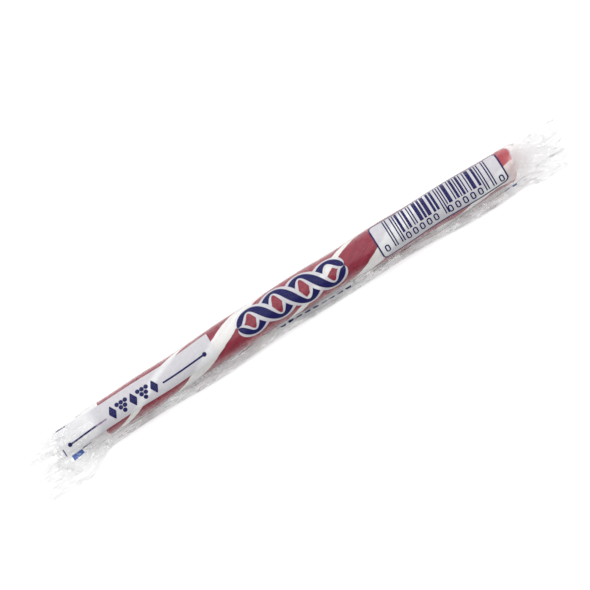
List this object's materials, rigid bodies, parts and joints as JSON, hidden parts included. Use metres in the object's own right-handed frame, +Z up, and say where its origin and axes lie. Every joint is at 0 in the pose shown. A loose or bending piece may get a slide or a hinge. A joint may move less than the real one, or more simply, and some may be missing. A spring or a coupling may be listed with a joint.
{
  "type": "wrapped hard candy stick",
  "caption": "Striped hard candy stick sealed in a clear printed film wrapper with flat, pleated, pinked ends. It lies flat on a table.",
  "frame": {"origin": "on the narrow flat that the stick rests on, below the middle of the candy's length", "axes": "+X along the stick towards its shorter sealed end, +Y across it on the side where the film is tight, +Z up"},
  "size_m": [0.166, 0.0181, 0.0096],
  "materials": {
    "candy_red": "smooth glossy pulled sugar, dark grape red with faint pale specks",
    "candy_white": "smooth glossy pulled sugar, aerated white",
    "clear_film": "thin clear glossy polypropylene film, creased and pleated",
    "print_white": "opaque white ink under glossy film",
    "print_navy": "navy ink under glossy film",
    "print_blue": "thin mid-blue ink under glossy film"
  },
  "bodies": {
    "root": {"sealed_candy_stick": "candy_red"}
  },
  "joints": []
}
